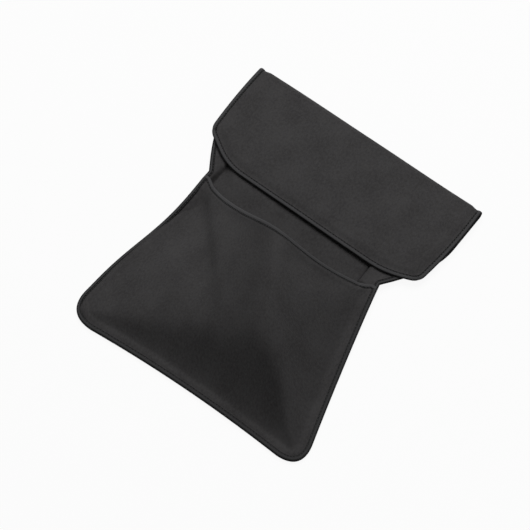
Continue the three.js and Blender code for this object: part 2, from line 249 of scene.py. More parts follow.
class PouchStage(PropertyGroup):
    """Camera, lights and floor"""

    azimuth: angle("Azimuth", "Camera's turn round the pouch", 37.5)
    elevation: angle("Elevation", "Camera's height over the horizon", 62.0)
    distance: size("Distance", "From the camera to the place it looks at", 1.5)
    aim_across: size("Aim across", "Place that the camera looks at, along the fold", 0.0013)
    aim_along: size("Aim along", "Place that the camera looks at, from the fold", -0.13678)
    lens: share("Lens", "Focal length in millimetres, on a 36 mm sensor", 131.475)
    sky: share("Sky", "Strength of the even light from all round", 0.12)
    key: share("Key", "Power of the large lamp overhead, in watts", 28.0)


SETTINGS = {
    "pouch_cloth": PouchCloth,
    "pouch_tape": PouchTape,
    "pouch_sewing": PouchSewing,
    "pouch_flap": PouchFlap,
    "pouch_pocket": PouchPocket,
    "pouch_crown": PouchCrown,
    "pouch_looks": PouchLooks,
    "pouch_stage": PouchStage,
}


# Plan of the panels


def lerp(a, b, t):
    return a + (b - a) * t


def smooth(x, low, high):
    t = np.clip((x - low) / (high - low), 0.0, 1.0)
    return t * t * (3.0 - 2.0 * t)


def bell(x, width):
    """1 at 0, and next to nothing at twice the width."""
    return np.exp(-((x / width) ** 2))


def graded(count, closeness=0.5):
    """Shares from 0 to 1 that stand closer together towards both ends."""
    u = np.linspace(0.0, 1.0, count)
    return u - closeness * np.sin(2.0 * math.pi * u) / (2.0 * math.pi)


LEAST_LENGTH = 1e-12


def unit(vectors):
    return vectors / np.maximum(np.linalg.norm(vectors, axis=-1, keepdims=True), LEAST_LENGTH)


def nearest(points, places):
    """How far each place lies from a line through points, and at which share of the line's length."""
    flat = places.reshape(-1, 2)
    best = np.full(len(flat), np.inf)
    shares = np.zeros(len(flat))
    lengths = np.hypot(*np.diff(points, axis=0).T)
    ends = np.concatenate([[0.0], np.cumsum(lengths)]) / lengths.sum()
    for k in range(len(lengths)):
        run = points[k + 1] - points[k]
        t = np.clip((flat - points[k]) @ run / (run @ run), 0.0, 1.0)
        gap = np.hypot(*(flat - points[k] - t[:, None] * run).T)
        shares = np.where(gap < best, lerp(ends[k], ends[k + 1], t), shares)
        best = np.minimum(best, gap)
    return best.reshape(places.shape[:-1]), shares.reshape(places.shape[:-1])


class Outline:
    """Open outline in plan with round corners: down the left side, along the end and up the right side.

    Each run between corners may bow out, or in where its bow is negative, and the left side may also sway:
    in above and out below.
    """

    STEPS = 60
    # At 1 the sway turns at the middle of the side, at more further down
    SWAY_PLACE = 1.15

    def __init__(self, corners, reaches, bows, sway=0.0):
        corners = [np.array(corner, float) for corner in corners]
        curves = []
        start = corners[0]
        for i, bow in enumerate(bows):
            corner = corners[i + 1]
            last = i + 2 == len(corners)
            stop = corner if last else self.towards(corner, corners[i], reaches[i])
            control = (start + stop) / 2.0 + 2.0 * bow * self.outward(start, stop)
            curves.append(self.curve(start, control, stop))
            if not last:
                start = self.towards(corner, corners[i + 2], reaches[i])
                curves.append(self.curve(stop, corner, start))
        turn = 2.0 * math.pi * np.linspace(0.0, 1.0, self.STEPS + 1) ** self.SWAY_PLACE
        drawn = sway * np.sin(turn)
        curves[0] = curves[0] - drawn[:, None] * self.outward(curves[0][0], curves[0][-1])
        self.points = np.concatenate([curves[0]] + [curve[1:] for curve in curves[1:]])
        steps = np.hypot(*np.diff(self.points, axis=0).T)
        self.along = np.concatenate([[0.0], np.cumsum(steps)])
        self.total = self.along[-1]
        self.left_corner = self.along[self.STEPS * 3 // 2]
        self.right_corner = self.along[-1 - self.STEPS * 3 // 2]

    @staticmethod
    def towards(start, stop, reach):
        return start + (stop - start) * reach / np.hypot(*(stop - start))

    @staticmethod
    def outward(start, stop):
        run = stop - start
        return np.array((run[1], -run[0])) / np.hypot(*run)

    def curve(self, start, control, stop):
        t = np.linspace(0.0, 1.0, self.STEPS + 1)[:, None]
        return lerp(lerp(start, control, t), lerp(control, stop, t), t)

    def at(self, along):
        return np.stack([np.interp(along, self.along, self.points[:, k]) for k in range(2)], axis=-1)

    def distance(self, places):
        """How far each place lies from the outline."""
        return nearest(self.points, places)[0]

    def patch(self, s, v, left_drop=0.0, right_drop=0.0):
        """Places inside the outline: v runs from its end to its top, s from left to right."""
        left_top = left_drop
        right_top = self.total - right_drop
        left = self.at(lerp(self.left_corner, left_top, v))
        right = self.at(lerp(self.right_corner, right_top, v))
        end = self.at(lerp(self.left_corner, self.right_corner, s))
        s = s[..., None]
        v = v[..., None]
        top = lerp(self.at(left_top), self.at(right_top), s)
        corners = lerp(lerp(self.at(self.left_corner), self.at(self.right_corner), s), top, v)
        return lerp(end, top, v) + lerp(left, right, s) - corners


def pocket_outline(scene):
    pocket = scene.pouch_pocket
    inset = scene.pouch_tape.overhang
    half_mouth = pocket.mouth_width / 2.0 - inset
    half_bottom = pocket.bottom_width / 2.0 - inset
    centre = np.array((pocket.bottom_shift, POCKET_TOP - pocket.length + inset))
    reach = half_bottom * np.array((math.cos(pocket.bottom_tilt), math.sin(pocket.bottom_tilt)))
    corners = [(-half_mouth, POCKET_TOP), centre - reach, centre + reach, (half_mouth, POCKET_TOP)]
    bows = [-pocket.left_bow, -pocket.bottom_bow, -pocket.right_bow]
    return Outline(corners, [pocket.left_corner, pocket.right_corner], bows, pocket.left_sway)


def flap_outline(scene):
    flap = scene.pouch_flap
    half = flap.fold_width / 2.0 - scene.pouch_tape.overhang
    left = flap.left_taper - half
    right = half - flap.right_taper
    end = scene.pouch_tape.overhang - flap.length
    left_end = end + flap.slant
    corners = [
        (-half, 0.0),
        (left, left_end + flap.left_cut_along),
        (left + flap.left_cut_across, left_end),
        (right - flap.right_cut_across, end),
        (right, end + flap.right_cut_along),
        (half, 0.0),
    ]
    reaches = [flap.hip_reach, flap.toe_reach, flap.toe_reach, flap.hip_reach]
    return Outline(corners, reaches, [flap.left_bow, 0.0, 0.0, 0.0, flap.right_bow])


def neck_half_width(scene, y):
    flap = scene.pouch_flap
    inset = scene.pouch_tape.overhang
    turn = np.clip((y - POCKET_TOP) / flap.flare, 0.0, 1.0) * math.pi / 2.0
    return lerp(scene.pouch_pocket.mouth_width / 2.0 - inset, flap.fold_width / 2.0 - inset, np.sin(turn))


# Heights and thickness of the cloth


def swell(scene, distance):
    """0 along a sewn edge, 1 where the cloth has its full thickness."""
    cloth = scene.pouch_cloth
    return smooth(distance, cloth.flat_edge, cloth.flat_edge + cloth.ease)


def cloth_depth(scene, distance):
    cloth = scene.pouch_cloth
    return lerp(cloth.sewn, cloth.thickness, swell(scene, distance))


def edge_draw(scene, distance):
    return scene.pouch_cloth.edge_draw * (1.0 - swell(scene, distance))


# Places from the top of the pocket between which the pulled-up margins take the ledges' width and height
MARGIN_TURNS = (-0.010, -0.0055)
LIFT_TURNS = (-0.004, 0.010)


def margin_lift(scene, distance, y):
    """How far the sides are pulled up, most at the mouth corners, and the share of that on the margins."""
    pocket = scene.pouch_pocket
    above = y - POCKET_TOP
    run = np.where(above > 0.0, pocket.ledge_run, pocket.lift_down)
    lift = lerp(pocket.corner_lift, pocket.ledge, smooth(above, *LIFT_TURNS)) * bell(above, run)
    margin = np.clip((pocket.flange - distance) / (pocket.flange - scene.pouch_cloth.flat_edge), 0.0, 1.0)
    return lift, margin


def front_base(scene, distance, y):
    """Height of the back's underside where the front is sewn to it."""
    lift, margin = margin_lift(scene, distance, y)
    return edge_draw(scene, distance) + lift * margin


def back_height(scene, distance, x, y):
    """Height of the back's underside, whose margins pass into two pulled-up ledges beside the neck."""
    pocket = scene.pouch_pocket
    above = y - POCKET_TOP
    lift, margin = margin_lift(scene, distance, y)
    left = 1.0 - smooth(x, pocket.left_ledge - pocket.left_fall, pocket.left_ledge)
    right = smooth(x, pocket.right_ledge, pocket.right_ledge + pocket.right_fall)
    sides = lift * lerp(margin, left + right, smooth(above, *MARGIN_TURNS))
    tilt = 1.0 - pocket.neck_tilt * x / (pocket.mouth_width / 2.0)
    rise = pocket.neck_rise * tilt * bell(above - pocket.neck_place, pocket.neck_run)
    inside = smooth(distance, pocket.flange, pocket.flange + pocket.neck_ease)
    return edge_draw(scene, distance) + sides + rise * inside


def seam_stack(scene):
    cloth = scene.pouch_cloth
    return 2.0 * cloth.sewn + cloth.layer_gap


def slope_share(away, whole, flat):
    """Share of the way up a slope at a distance from its seam, past the flat cloth along that seam."""
    return np.maximum(away - flat, 0.0) / (whole - flat)


LEAST_SLOPE = 1e-4


def front_rise(scene, s, v, width, distance):
    """Rise of the pocket's front over its seams: hips fall from a crest to both sides and to the bottom."""
    crown = scene.pouch_crown
    flat = scene.pouch_cloth.flat_edge
    length = scene.pouch_pocket.length
    higher = v - crown.middle
    left_share = slope_share(s * width, crown.across * width, flat)
    right_share = slope_share((1.0 - s) * width, (1.0 - crown.across) * width, flat)
    bottom_share = slope_share(v * length, crown.rear, flat)
    left = crown.left * (1.0 + crown.left_gain * higher) * left_share
    right = crown.right * (1.0 + crown.right_gain * higher) * right_share**crown.right_curve
    below_mouth = crown.mouth_gain * (1.0 - v) ** crown.mouth_ease
    mouth = crown.mouth_start + crown.mouth * right_share**crown.mouth_curve + below_mouth
    bottom = crown.bottom * bottom_share**crown.bottom_curve
    near_side = 1.0 - smooth(np.minimum(s, 1.0 - s) * width, 0.0, crown.corner_reach)
    near_bottom = 1.0 - smooth(v * length, 0.0, crown.corner_reach)
    corner = near_side * near_bottom
    inside = distance - lerp(flat, crown.corner_flat, corner)
    edge = crown.edge * (inside + np.hypot(inside, crown.corner_ease * corner)) / (2.0 * crown.height)
    slopes = (left, right, mouth, bottom, edge)
    hips = sum(np.maximum(slope, LEAST_SLOPE) ** -crown.sharpness for slope in slopes)
    return crown.height * hips ** (-1.0 / crown.sharpness)


# Meshes

SHARP_ANGLE = math.radians(55.0)


def mesh_object(name, points, faces, flat, finish):
    """New object from points in plan, its faces and its flat coordinates in metres."""
    mesh = bpy.data.meshes.new(name)
    mesh.from_pydata((points + PLAN_ORIGIN).tolist(), [], [tuple(face) for face in faces])
    corner_points = np.zeros(len(mesh.loops), np.int32)
    mesh.loops.foreach_get("vertex_index", corner_points)
    layer = mesh.uv_layers.new(name="flat_cloth")
    layer.data.foreach_set("uv", flat[corner_points].astype(np.float32).ravel())
    mesh.polygons.foreach_set("use_smooth", np.ones(len(mesh.polygons), bool))
    mesh.set_sharp_from_angle(angle=SHARP_ANGLE)
    mesh.materials.append(finish)
    mesh.validate()
    piece = bpy.data.objects.new(name, mesh)
    bpy.context.scene.collection.objects.link(piece)
    return piece


def grid_faces(rows, columns, first=0, turned=False):
    j, i = np.meshgrid(np.arange(rows - 1), np.arange(columns - 1), indexing="ij")
    a = first + j * columns + i
    ring = [a, a + 1, a + columns + 1, a + columns]
    return np.stack(ring[::-1] if turned else ring, axis=-1).reshape(-1, 4)


def grid_normals(points):
    across = np.gradient(points, axis=1)
    along = np.gradient(points, axis=0)
    return unit(np.cross(across, along))


def rim_loop(rows, columns):
    """Indices round the border of a grid."""
    grid = np.arange(rows * columns).reshape(rows, columns)
    return np.concatenate([grid[0, :-1], grid[:-1, -1], grid[-1, :0:-1], grid[:0:-1, 0]])


def cloth_shell(scene, name, face, depth, flat, stretch=slice(None)):
    """Closed padded sheet: a stretch of a face, the same set back by its depth, and the edge between."""
    back = (face + grid_normals(face) * depth[..., None])[stretch]
    face = face[stretch]
    rows, columns = face.shape[:2]
    count = rows * columns
    loop = rim_loop(rows, columns)
    following = np.roll(loop, -1)
    rim = np.stack([following, loop, loop + count, following + count], axis=-1)
    sides = [grid_faces(rows, columns), grid_faces(rows, columns, count, turned=True), rim]
    faces = np.concatenate(sides)
    if depth.mean() > 0.0:
        faces = faces[:, ::-1]
    points = np.concatenate([face.reshape(-1, 3), back.reshape(-1, 3)])
    flats = np.concatenate([flat[stretch].reshape(-1, 2)] * 2)
    piece = mesh_object(name, points, faces, flats, cloth_finish(scene))
    return piece


def tube_faces(rings, sides, first=0):
    """Faces of a closed tube whose points lie ring by ring."""
    ring = first + np.arange(sides)
    following = np.roll(ring, -1)
    band = np.stack([ring, following, following + sides, ring + sides], axis=-1)
    faces = np.concatenate([band + k * sides for k in range(rings - 1)]).tolist()
    faces += [ring[::-1].tolist(), (ring + (rings - 1) * sides).tolist()]
    return faces


def assign(target, values):
    for key, value in values.items():
        setattr(target, key, value)


# Shader maths


class Value:
    """What a node gives out. Sums and products of numbers add Math nodes."""

    def __init__(self, finish, socket):
        self.finish = finish
        self.socket = socket

    def math(self, operation, first, second):
        return self.finish.node("ShaderNodeMath", {"operation": operation}, {0: first, 1: second})

    def __add__(self, other):
        return self.math("ADD", self, other)

    __radd__ = __add__

    def __sub__(self, other):
        return self.math("SUBTRACT", self, other)

    def __rsub__(self, other):
        return self.math("SUBTRACT", other, self)

    def __mul__(self, other):
        return self.math("MULTIPLY", self, other)

    __rmul__ = __mul__

    def wave(self):
        """Sine that repeats at each whole number."""
        return self.finish.node("ShaderNodeMath", {"operation": "SINE"}, {0: self * (2.0 * math.pi)})

    def between(self, low, high):
        """0 at low and 1 at high, held outside them."""
        sockets = {"Value": self, "From Min": low, "From Max": high}
        return self.finish.node("ShaderNodeMapRange", {"interpolation_type": "SMOOTHSTEP"}, sockets)

    def within(self, rise, fall):
        """0 before its rise and past its fall, 1 between them."""
        return self.between(*rise) * (1.0 - self.between(*fall))


class Finish:
    """A material or world under construction."""

    def __init__(self, owner):
        owner.use_nodes = True
        self.owner = owner
        self.tree = owner.node_tree
        self.tree.nodes.clear()

    def node(self, kind, settings, sockets, output=0):
        """Adds a node of a kind: its settings first, then the values or links of its sockets."""
        made = self.tree.nodes.new(kind)
        assign(made, settings)
        for key, value in sockets.items():
            if isinstance(value, Value):
                self.tree.links.new(value.socket, made.inputs[key])
            else:
                made.inputs[key].default_value = value
        return Value(self, made.outputs[output]) if made.outputs else None

    def flat(self, across, along):
        """Flat coordinates of the cloth, in steps of two sizes given in metres."""
        place = self.node("ShaderNodeUVMap", {"uv_map": "flat_cloth"}, {})
        steps = (1.0 / across, 1.0 / along, 1.0)
        return self.node("ShaderNodeVectorMath", {"operation": "MULTIPLY"}, {0: place, 1: steps})

    def axis(self, vector, index):
        return self.node("ShaderNodeSeparateXYZ", {}, {0: vector}, output=index)

    def noise(self, steps, detail, roughness):
        """Soft noise over the flat cloth, whose largest blots have the size of the steps."""
        sockets = {"Vector": self.flat(*steps), "Scale": 1.0, "Detail": detail, "Roughness": roughness}
        return self.node("ShaderNodeTexNoise", {}, sockets)

    def mix(self, factor, first, second):
        """Colour between two colours, numbers or links."""
        sockets = {0: factor, 6: self.opaque(first), 7: self.opaque(second)}
        return self.node("ShaderNodeMix", {"data_type": "RGBA"}, sockets, output=2)

    @staticmethod
    def opaque(shade):
        return shade if isinstance(shade, Value) else (*shade, 1.0)

    def bump(self, height, distance):
        sockets = {"Height": height, "Distance": distance, "Strength": 1.0}
        return self.node("ShaderNodeBump", {}, sockets)

    def surface(self, shader, kind="ShaderNodeOutputMaterial"):
        self.node(kind, {}, {"Surface": shader})
        return self.owner

    def principled(self, sockets):
        return self.surface(self.node("ShaderNodeBsdfPrincipled", {}, sockets))


def found(name, make, *values):
    """The finish of that name, made when it is first asked for."""
    return bpy.data.materials.get(name) or make(name, *values)


# Steps of the cloth's loops, nap, fibres and mottle, across and along it, and the depth of its relief
KNIT_STEPS = (0.0009, 0.0007)
NAP_STEPS = (0.0019, 0.0027)
FIBRE_STEPS = (0.0004, 0.0026)
MOTTLE_STEPS = (0.024, 0.030)
CLOTH_RELIEF = 0.00028


def brushed_cloth(name, looks):
    """Charcoal knit with a short brushed nap over thin foam."""
    finish = Finish(bpy.data.materials.new(name))
    knit = finish.flat(*KNIT_STEPS)
    loops = finish.axis(knit, 0).wave() * finish.axis(knit, 1).wave()
    nap = finish.noise(NAP_STEPS, detail=4.0, roughness=0.70)
    fibre = finish.noise(FIBRE_STEPS, detail=2.0, roughness=0.6)
    mottle = finish.noise(MOTTLE_STEPS, detail=3.0, roughness=0.55)
    lit = (0.45 * nap + 0.25 * fibre + 0.30 * mottle).between(0.34, 0.62)
    height = 0.5 * nap + 0.35 * fibre + 0.06 * loops
    return finish.principled({
        "Base Color": finish.mix(lit, tuple(looks.cloth_deep), tuple(looks.cloth)),
        "Roughness": 0.96 - 0.12 * lit,
        "Specular IOR Level": 0.22,
        "Normal": finish.bump(height, CLOTH_RELIEF),
    })


def cloth_finish(scene):
    return found("brushed_cloth", brushed_cloth, scene.pouch_looks)


# Steps of a tape's ribs and frayed fibres, along and across it, and the depth of its relief
RIB_STEP = 0.00065
FRAY_STEPS = (0.0009, 0.0012)
TAPE_RELIEF = 0.00025
MILLIMETRE = 0.001

# Where a tape's painted highlight begins and ends, in millimetres from its crown, and how strong it is;
# outside it the tape's dark colour also stands in for the shade on the far outer edge of its roll
EDGE_HIGHLIGHT = ((-1.6, -0.8), (0.65, 1.2), 0.88)
POCKET_HIGHLIGHT = ((-1.2, -0.5), (0.3, 0.8), 0.74)
MOUTH_HIGHLIGHT = ((-1.75, -1.2), (0.75, 1.1), 1.0)

# Where the pocket's tape gets painted light beside its crown and a dimmer painted highlight along it,
# evening out its shade at the bottom and up its right side: in metres along the tape, and in millimetres
# from its crown
RELIT_ALONG = ((0.205, 0.245), (0.560, 0.600))
DIMMED_HIGHLIGHT_ACROSS = ((-1.2, -0.5), (0.6, 1.2))


def ribbed_tape(name, looks, outer, inner, highlight_strength, relit=None):
    """Woven edge tape with fine cross ribs, and a painted highlight along the crown of its roll."""
    finish = Finish(bpy.data.materials.new(name))
    place = finish.flat(RIB_STEP, MILLIMETRE)
    rib = finish.axis(place, 0).wave()
    across = finish.axis(place, 1)
    fray = finish.noise(FRAY_STEPS, detail=3.0, roughness=0.6)
    # Painted highlight along the crown of the roll, which is also a little smoother there
    painted_highlight = across.within(outer, inner) * (0.75 + 0.5 * fray) * highlight_strength
    shade = finish.mix(painted_highlight, tuple(looks.tape), tuple(looks.tape_highlight))
    # On stretches of the pocket's tape, painted light beside the crown and a dimmer painted highlight on it
    # even out the shade of its sides
    if relit is not None:
        along = finish.axis(finish.flat(1.0, 1.0), 0)
        even = finish.mix(across.within(*DIMMED_HIGHLIGHT_ACROSS), tuple(looks.tape_lit_side), tuple(looks.tape_dimmed_highlight))
        shade = finish.mix(along.within(*relit), shade, even)
    return finish.principled({
        "Base Color": shade,
        "Roughness": 0.90 - 0.14 * painted_highlight,
        "Specular IOR Level": 0.12,
        "Normal": finish.bump(0.25 * rib + 0.5 * fray, TAPE_RELIEF),
    })


# Step of the thread's twist, how much paler its strands are than the grooves, and the depth of its relief
TWIST_STEP = 0.0005
STRAND_PALER = 1.9
THREAD_RELIEF = 0.00006


def sewing_thread(name, looks):
    """Twisted black thread."""
    finish = Finish(bpy.data.materials.new(name))
    place = finish.flat(TWIST_STEP, TWIST_STEP)
    strand = (finish.axis(place, 0) + finish.axis(place, 1)).wave().between(-0.6, 0.9)
    pale = tuple(STRAND_PALER * part for part in looks.thread)
    return finish.principled({
        "Base Color": finish.mix(strand, tuple(looks.thread), pale),
        "Roughness": 0.62 - 0.12 * strand,
        "Specular IOR Level": 0.4,
        "Normal": finish.bump(strand, THREAD_RELIEF),
    })


# Cloth that settles


def refined(field):
    """The same field with a new row and column between each two, on smooth curves."""
    for _ in range(2):
        ahead = np.concatenate([field[1:], field[-1:]])
        behind = np.concatenate([field[:1], field[:-1]])
        further = np.concatenate([field[2:], field[-1:], field[-1:]])
        between = (9.0 * (field + ahead) - behind - further)[:-1] / 16.0
        finer = np.empty((2 * len(field) - 1, *field.shape[1:]))
        finer[0::2] = field
        finer[1::2] = between
        field = finer.swapaxes(0, 1)
    return field


# The cloth settles at a larger scale, where its contacts are steadier
SIM_SCALE = 10.0
FORMER_CONTACT = {"thickness_outer": 0.002, "thickness_inner": 0.05, "cloth_friction": 30.0}
CLOTH_CONTACT = {"distance_min": 0.002, "collision_quality": 3}
CLOTH_NATURE = {
    "quality": 8,
    "mass": 0.25,
    "air_damping": 3.0,
    "tension_stiffness": 30.0,
    "compression_stiffness": 30.0,
    "shear_stiffness": 12.0,
    "bending_stiffness": 20.0,
    "vertex_group_mass": "held",
}


def settled(scene, start, held):
    """Where the points of a sheet come to rest as slack cloth over a former, held where held is 1."""
    crown = scene.pouch_crown
    rows, columns = start.shape[:2]
    finish = cloth_finish(scene)
    flat = start[..., :2].reshape(-1, 2)
    faces = grid_faces(rows, columns)
    under = start - grid_normals(start) * (crown.give * (1.0 - held))[..., None]
    former = mesh_object("former", under.reshape(-1, 3) * SIM_SCALE, faces, flat, finish)
    former.modifiers.new("Collision", "COLLISION")
    assign(former.collision, FORMER_CONTACT)
    cloth = mesh_object("settling", start.reshape(-1, 3) * SIM_SCALE, faces, flat, finish)
    group = cloth.vertex_groups.new(name="held")
    for index, weight in enumerate(held.ravel()):
        group.add([index], float(weight), "REPLACE")
    modifier = cloth.modifiers.new("Cloth", "CLOTH")
    assign(modifier.settings, CLOTH_NATURE)
    modifier.settings.shrink_min = -crown.slack
    assign(modifier.collision_settings, CLOTH_CONTACT)
    modifier.point_cache.frame_start = 1
    modifier.point_cache.frame_end = crown.frames
    for number in range(1, crown.frames + 1):
        scene.frame_set(number)
    shape = cloth.evaluated_get(bpy.context.evaluated_depsgraph_get()).to_mesh()
    points = np.zeros(3 * rows * columns, np.float32)
    shape.vertices.foreach_get("co", points)
    for piece in (cloth, former):
        mesh = piece.data
        bpy.data.objects.remove(piece)
        bpy.data.meshes.remove(mesh)
    scene.frame_set(1)
    return (points.reshape(rows, columns, 3) - PLAN_ORIGIN) / SIM_SCALE


# Panels


def front_surface(scene, columns, rows):
    """Face, depth, flat coordinates and seam distance of the pocket's front on a grid."""
    pocket = scene.pouch_pocket
    crown = scene.pouch_crown
    outline = pocket_outline(scene)
    drops = (pocket.left_drop, pocket.right_drop)
    v, s = np.meshgrid(graded(rows), graded(columns), indexing="ij")
    plan = outline.patch(s, v, *drops)
    left, right = (outline.patch(np.full_like(v, side), v, *drops) for side in (0.0, 1.0))
    width = np.linalg.norm(right - left, axis=-1)
    distance = outline.distance(plan)
    rise = front_rise(scene, s, v, width, distance)
    height = front_base(scene, distance, plan[..., 1]) + seam_stack(scene) + rise
    lean = crown.lean_length * rise / (rise + crown.lean_height) * v
    face = np.stack([plan[..., 0], plan[..., 1] - lean, height], axis=-1)
    to_edge = np.minimum(distance, (1.0 - v) * pocket.length)
    flat = np.stack([s * pocket.bottom_width, v * pocket.length], axis=-1)
    return face, cloth_depth(scene, to_edge), flat, to_edge


# Columns and rows of the front while it settles
FRONT_GRID = (97, 73)

# Ends in plan of the crease from the left of the mouth to the crest, and the shares of its length over
# which it rises and fades
CREASE_START = (-0.0703, -0.1188)
CREASE_STOP = (0.0040, -0.1988)
CREASE_RISES = (-0.10, 0.06)
CREASE_FADES = (0.70, 1.15)

# Depth of the hollow beside that crease, how far from it that lies, how round the crease is, and how many
# times that far away the cloth begins to swell
CREASE_DEPTH = 0.0062
CREASE_REACH = 0.012
CREASE_ROUND = 0.0020
CREASE_SWELL = 2.6

# Ends in plan, depth and width of the pressed creases of the neck beside the mouth
NECK_CREASES = (
    (((-0.0765, -0.110), (-0.0752, -0.078)), 0.0009, 0.0050),
    (((0.0685, -0.108), (0.0670, -0.080)), 0.0009, 0.0024),
)

# Share of its length over which a pressed crease runs out at each end
CREASE_ENDS = 0.2


def hollow(places):
    """How far the cloth sags on the left of the crease, which turns to a swell further away."""
    run = np.array(CREASE_STOP) - CREASE_START
    way = run / np.hypot(*run)
    along = (places - CREASE_START) @ way / np.hypot(*run)
    right = (places - CREASE_START) @ np.array((-way[1], way[0]))
    beside = CREASE_ROUND * np.log1p(np.exp(-right / CREASE_ROUND)) / CREASE_REACH
    ends = smooth(along, *CREASE_RISES) * (1.0 - smooth(along, *CREASE_FADES))
    return CREASE_DEPTH * beside * np.exp(1.0 - beside) * (1.0 - beside / CREASE_SWELL) * ends


def creased(places, creases):
    """How deep soft creases, which run out at both ends, sink in at each place."""
    depth = np.zeros(places.shape[:-1])
    for line, deepest, width in creases:
        gap, along = nearest(np.array(line), places)
        ends = smooth(along, 0.0, CREASE_ENDS) * (1.0 - smooth(along, 1.0 - CREASE_ENDS, 1.0))
        depth += deepest * bell(2.0 * gap, width) * ends
    return depth


def softened(field, rounds):
    """The same field with each value evened out against its neighbours."""
    for _ in range(rounds):
        wide = np.pad(field, ((1, 1), (1, 1), (0, 0)), mode="edge")
        around = wide[:-2, 1:-1] + wide[2:, 1:-1] + wide[1:-1, :-2] + wide[1:-1, 2:]
        field = 0.5 * field + 0.125 * around
    return field


LEAST_MOVE = 1e-9


def front_face(scene):
    """The pocket's front after it has settled, with its depth and flat coordinates."""
    coarse, _, _, to_edge = front_surface(scene, *FRONT_GRID)
    face, depth, flat, _ = front_surface(scene, *(2 * count - 1 for count in FRONT_GRID))
    face -= grid_normals(face) * hollow(face[..., :2])[..., None]
    held = 1.0 - swell(scene, to_edge)
    move = settled(scene, coarse, held) - coarse
    far = np.linalg.norm(move, axis=-1, keepdims=True)
    limit = scene.pouch_crown.settle
    move *= limit * np.tanh(far / limit) / np.maximum(far, LEAST_MOVE)
    return face + refined(softened(move, scene.pouch_crown.softness)), depth, flat


class POUCH_OT_front(Operator):
    """Make the front of the pocket, settled as cloth over its raised form, and the tape of its mouth"""

    bl_idname = "pouch.front"
    bl_label = "Pocket front"

    def execute(self, context):
        scene = context.scene
        face, depth, flat = front_face(scene)
        front = cloth_shell(scene, "pocket_front", face, -depth, flat)
        # The mouth's tape has the widest painted highlight
        tape, rows = edge_tape(scene, "mouth_binding", mouth_path(face, depth), "mouth_tape", MOUTH_HIGHLIGHT)
        for piece in (front, tape, rows):
            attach(piece, "pocket")
        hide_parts("front_panel")
        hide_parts("mouth_tape")
        return {"FINISHED"}


class POUCH_OT_back(Operator):
    """Make the back of the pocket and the lower half of the neck, in one piece of cloth"""

    bl_idname = "pouch.back"
    bl_label = "Pocket back"

    POCKET_ROWS = 110
    NECK_ROWS = 40
    COLUMNS = 201

    def execute(self, context):
        scene = context.scene
        outline = pocket_outline(scene)
        split = -scene.pouch_flap.split
        columns = graded(self.COLUMNS)
        v, s = np.meshgrid(graded(self.POCKET_ROWS, closeness=0.4), columns, indexing="ij")
        pocket_plan = outline.patch(s, v)
        pocket_distance = outline.distance(pocket_plan)
        neck_rows = np.linspace(POCKET_TOP, split, self.NECK_ROWS)[1:]
        y, s = np.meshgrid(neck_rows, columns, indexing="ij")
        half = neck_half_width(scene, y)
        neck_plan = np.stack([lerp(-half, half, s), y], axis=-1)
        plan = np.concatenate([pocket_plan, neck_plan])
        distance = np.concatenate([pocket_distance, half - np.abs(neck_plan[..., 0])])
        height = back_height(scene, distance, plan[..., 0], plan[..., 1])
        face = np.concatenate([plan, height[..., None]], axis=-1)
        depth = cloth_depth(scene, distance) - creased(plan, NECK_CREASES)
        piece = cloth_shell(scene, "pocket_back", face, depth, plan)
        bend_with_neck(piece)
        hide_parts("back_panel", "bend_panel")
        return {"FINISHED"}


# Rows of the neck, the fold and the flap, and their stretches, which meet just past both ends of the fold
FLAP_ROWS = (34, 65, 86)
FLAP_COLUMNS = 161
FOLD_FROM = FLAP_ROWS[0] - 2
FOLD_TO = FLAP_ROWS[0] + FLAP_ROWS[1]
STRETCHES = {
    "neck": slice(FOLD_FROM + 1),
    "fold": slice(FOLD_FROM, FOLD_TO + 1),
    "flap": slice(FOLD_TO, None),
}


class POUCH_OT_flap(Operator):
    """Make the upper half of the neck, the fold and the flap, in one cut of cloth"""

    bl_idname = "pouch.flap"
    bl_label = "Flap"

    def execute(self, context):
        scene = context.scene
        surface = flap_surface(scene)
        shells = [cloth_shell(scene, f"{part}_cloth", *surface, rows) for part, rows in STRETCHES.items()]
        neck, fold, loose = shells
        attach(neck, "neck")
        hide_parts("neck_panel")
        turn_with_flap(fold)
        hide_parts("fold_panel")
        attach(loose, "flap")
        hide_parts("flap_panel")
        return {"FINISHED"}


# Height share of each swell of the flap, its half waves across, its turn at the left, and its turn along
FLAP_SWELLS = ((1.0, 2.3, 0.6, 0.0), (0.6, 5.1, 0.0, 2.0))
# At 1 the flap sags along a straight line, at more along a curve
SAG_CURVE = 1.5


def flap_wave(scene, s, v):
    """Gentle swells and the sag of the flap, none at its fold and most towards its free edge."""
    flap = scene.pouch_flap
    free = 1.0 - v
    swells = 0.0
    tallest = 0.0
    for height, waves, start, along in FLAP_SWELLS:
        swells = swells + height * np.sin(waves * math.pi * s + start + along * v)
        tallest += height
    sag = flap.sag * free**SAG_CURVE * (1.0 - flap.held_up * np.sin(math.pi * s))
    return flap.wave * free * swells / tallest - sag


# How far each draw pulls the fold in towards the pocket, and the places along the fold where it sets in
FOLD_DRAWS = ((0.0012, (-0.080, 0.020)), (0.0012, (0.0, 0.085)))


def drawn_in(x):
    """How far the fold lies from its straight line, most at its right end."""
    return sum(depth * smooth(x, *places) for depth, places in FOLD_DRAWS)


